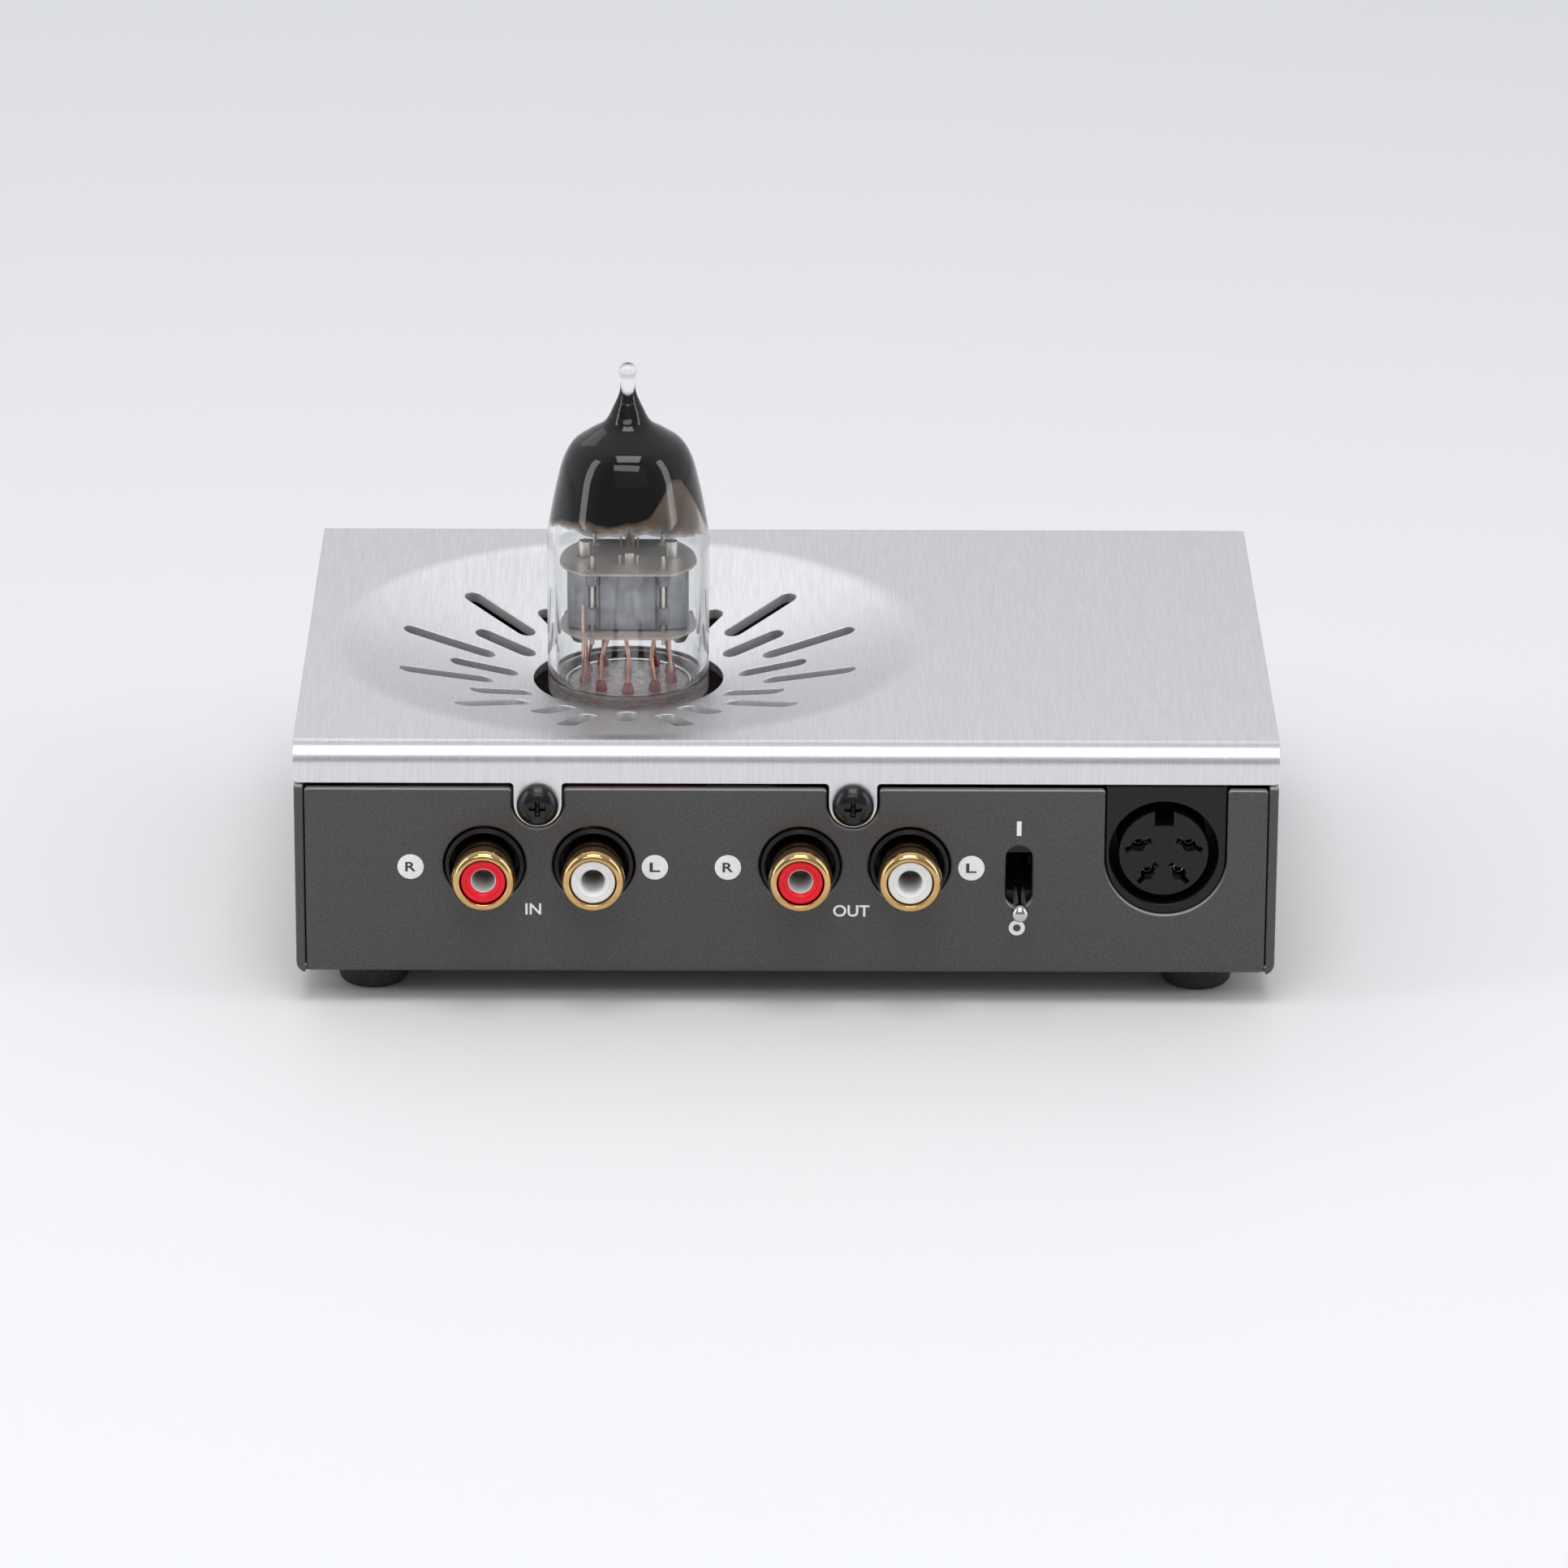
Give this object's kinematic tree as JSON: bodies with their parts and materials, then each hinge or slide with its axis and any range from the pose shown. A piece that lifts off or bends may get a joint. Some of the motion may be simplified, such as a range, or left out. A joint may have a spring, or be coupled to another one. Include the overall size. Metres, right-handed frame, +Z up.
{
  "type": "tube amplifier",
  "caption": "Small desktop tube amplifier: bent aluminium cover with a dished, slotted tube well over a steel tray, phono jacks, power switch and round power inlet behind, controls in front.",
  "frame": {"origin": "middle of the amplifier's outline, lever and knob included, on the surface that its feet stand on", "axes": "+Z up, -Y out of the jack panel, +Y out of the control front, +X to the right for someone who looks at the jack panel"},
  "size_m": [0.127, 0.11, 0.0738],
  "materials": {
    "brushed_aluminium": "brushed front to back, clear anodised",
    "powder_coat": "fine-textured dark grey powder coat",
    "black_screw": "glossy black oxide",
    "foot_rubber": "matt",
    "board_laminate": "dark solder mask",
    "brass": "turned",
    "plated_steel": "bright plated",
    "black_plastic": "moulded satin",
    "gold_plate": "polished gold plate",
    "red_insulator": "moulded",
    "white_insulator": "moulded",
    "chrome": "polished",
    "socket_plastic": "moulded phenolic",
    "clear_glass": "clear, blown",
    "mica": "translucent mica sheet",
    "anode_grey": "carbonised grey nickel",
    "nickel": "drawn nickel",
    "can_sleeve": "shrunk sleeve",
    "lamp_lens": "diffused"
  },
  "bodies": {
    "amplifier": {"top_cover": "brushed_aluminium", "chassis_tray": "powder_coat", "cover_screw_left": "black_screw", "cover_screw_right": "black_screw", "flange_screw_left": "black_screw", "flange_screw_right": "black_screw", "foot_rear_left": "foot_rubber", "foot_rear_right": "foot_rubber", "foot_front_left": "foot_rubber", "foot_front_right": "foot_rubber", "main_board": "board_laminate", "standoff_rear_left": "brass", "standoff_rear_right": "brass", "standoff_front_left": "brass", "standoff_front_right": "brass", "board_screw_rear_left": "plated_steel", "board_screw_rear_right": "plated_steel", "board_screw_front_left": "plated_steel", "board_screw_front_right": "plated_steel", "reservoir_capacitor_1": "can_sleeve", "reservoir_capacitor_2": "can_sleeve", "reservoir_capacitor_3": "can_sleeve", "reservoir_capacitor_4": "can_sleeve", "input_jack_body": "black_plastic", "output_jack_body": "black_plastic", "input_right_shell": "gold_plate", "input_right_insulator": "red_insulator", "input_left_shell": "gold_plate", "input_left_insulator": "white_insulator", "output_right_shell": "gold_plate", "output_right_insulator": "red_insulator", "output_left_shell": "gold_plate", "output_left_insulator": "white_insulator", "power_switch": "black_plastic", "gain_switch": "black_plastic", "power_inlet": "black_plastic", "headphone_jack": "black_plastic", "headphone_nut": "plated_steel", "volume_control": "black_plastic", "volume_nut": "plated_steel", "status_lamp": "lamp_lens", "lamp_holder": "black_plastic", "tube_socket": "socket_plastic"},
    "tube": {"glass_envelope": "clear_glass", "tube_stem": "clear_glass", "lower_mica": "mica", "upper_mica": "mica", "anode_left": "anode_grey", "anode_right": "anode_grey", "anode_screen": "anode_grey", "cathode_left": "nickel", "cathode_right": "nickel", "getter_ring": "nickel"},
    "power_toggle_lever": {"power_lever": "chrome"},
    "gain_toggle_lever": {"gain_lever": "chrome"},
    "volume_knob_group": {"volume_knob": "brushed_aluminium", "volume_shaft": "plated_steel"}
  },
  "joints": [
    {"name": "tube_lift", "type": "slide", "parent": "amplifier", "child": "tube", "axis": [0, 0, 1], "range_m": [0, 0.015]},
    {"name": "power_toggle", "type": "hinge", "parent": "amplifier", "child": "power_toggle_lever", "pos_m": [0.0301, -0.0423, 0.01785], "axis": [-1, 0, 0], "range_deg": [0, 26]},
    {"name": "gain_toggle", "type": "hinge", "parent": "amplifier", "child": "gain_toggle_lever", "pos_m": [0.02, 0.0354, 0.0196], "axis": [1, 0, 0], "range_deg": [0, 26]},
    {"name": "volume_turn", "type": "hinge", "parent": "amplifier", "child": "volume_knob_group", "pos_m": [-0.042, 0.041, 0.0196], "axis": [0, 1, 0], "range_deg": [-150, 150]}
  ]
}
